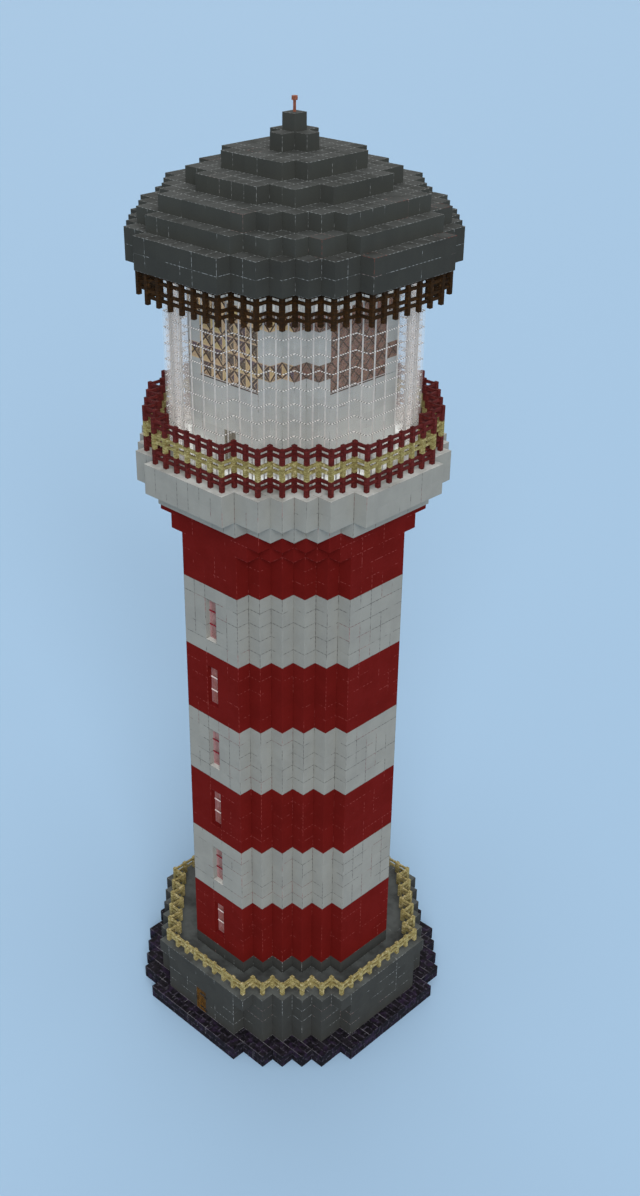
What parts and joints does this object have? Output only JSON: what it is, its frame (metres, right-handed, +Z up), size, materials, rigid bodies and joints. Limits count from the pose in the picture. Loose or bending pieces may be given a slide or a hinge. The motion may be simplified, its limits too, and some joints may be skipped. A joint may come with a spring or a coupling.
{
  "type": "lighthouse, 1:2 scale model",
  "caption": "Block-built lighthouse tower with red and white bands, a glazed lantern room, a domed roof and a hinged ground door.",
  "frame": {"origin": "on the tower's axis at the underside of the footing", "axes": "+Z up, the ground door and the window row face -Y"},
  "size_m": [10.5, 10.5, 32.445],
  "materials": {
    "stone_black": "rough black stone",
    "stone_dark": "dark grey stone",
    "stone_red": "matt red blocks",
    "stone_white": "matt white blocks",
    "stone_grey": "light grey stone",
    "lamp_glass": "warm lit lamp blocks behind a brown lattice",
    "lantern_glass": "clear panes with white frame lines",
    "window_glass": "tinted panes",
    "window_frame": "painted window casing",
    "fence_straw": "straw-coloured wood",
    "fence_red": "dark red wood",
    "fence_dark": "dark brown wood",
    "door_brown": "orange-brown wood",
    "door_grey": "grey-brown wood",
    "iron": "black iron",
    "copper": "dull copper-orange"
  },
  "bodies": {
    "tower": {"footing": "stone_black", "front_wall_left": "stone_dark", "front_wall_right": "stone_dark", "door_lintel": "stone_dark", "base_side_walls": "stone_dark", "base_corner_walls": "stone_dark", "terrace_deck": "stone_dark", "shaft_plinth": "stone_dark", "eaves_course": "stone_dark", "lower_dome": "stone_dark", "upper_dome": "stone_dark", "dome_crown": "stone_dark", "red_band_1_walls": "stone_red", "red_band_3_walls": "stone_red", "red_band_5_walls": "stone_red", "red_band_corners": "stone_red", "shoulder_walls": "stone_red", "shoulder_corbels": "stone_red", "white_band_2_walls": "stone_white", "white_band_4_walls": "stone_white", "white_band_6_walls": "stone_white", "white_band_corners": "stone_white", "gallery_apron": "stone_white", "gallery_deck": "stone_white", "core_walls": "stone_grey", "core_corners": "stone_grey", "storey_floors": "stone_grey", "lamp_panels": "lamp_glass", "lamp_rows": "lamp_glass", "glazing_sides": "lantern_glass", "glazing_corners": "lantern_glass", "window_panes": "window_glass", "window_casings": "window_frame", "terrace_fence_sides": "fence_straw", "terrace_fence_corners": "fence_straw", "gallery_railing_sides": "fence_red", "gallery_railing_corners": "fence_red", "eaves_lattice_sides": "fence_dark", "eaves_lattice_corners": "fence_dark", "upper_door": "door_grey", "door_pins": "iron", "finial": "copper"},
    "door": {"ground_door": "door_brown", "door_straps": "iron", "door_pull": "iron"}
  },
  "joints": [
    {"name": "door_hinge", "type": "hinge", "parent": "tower", "child": "door", "pos_m": [0.244, -4.776, 1], "axis": [0, 0, 1], "range_deg": [0, 100]}
  ]
}
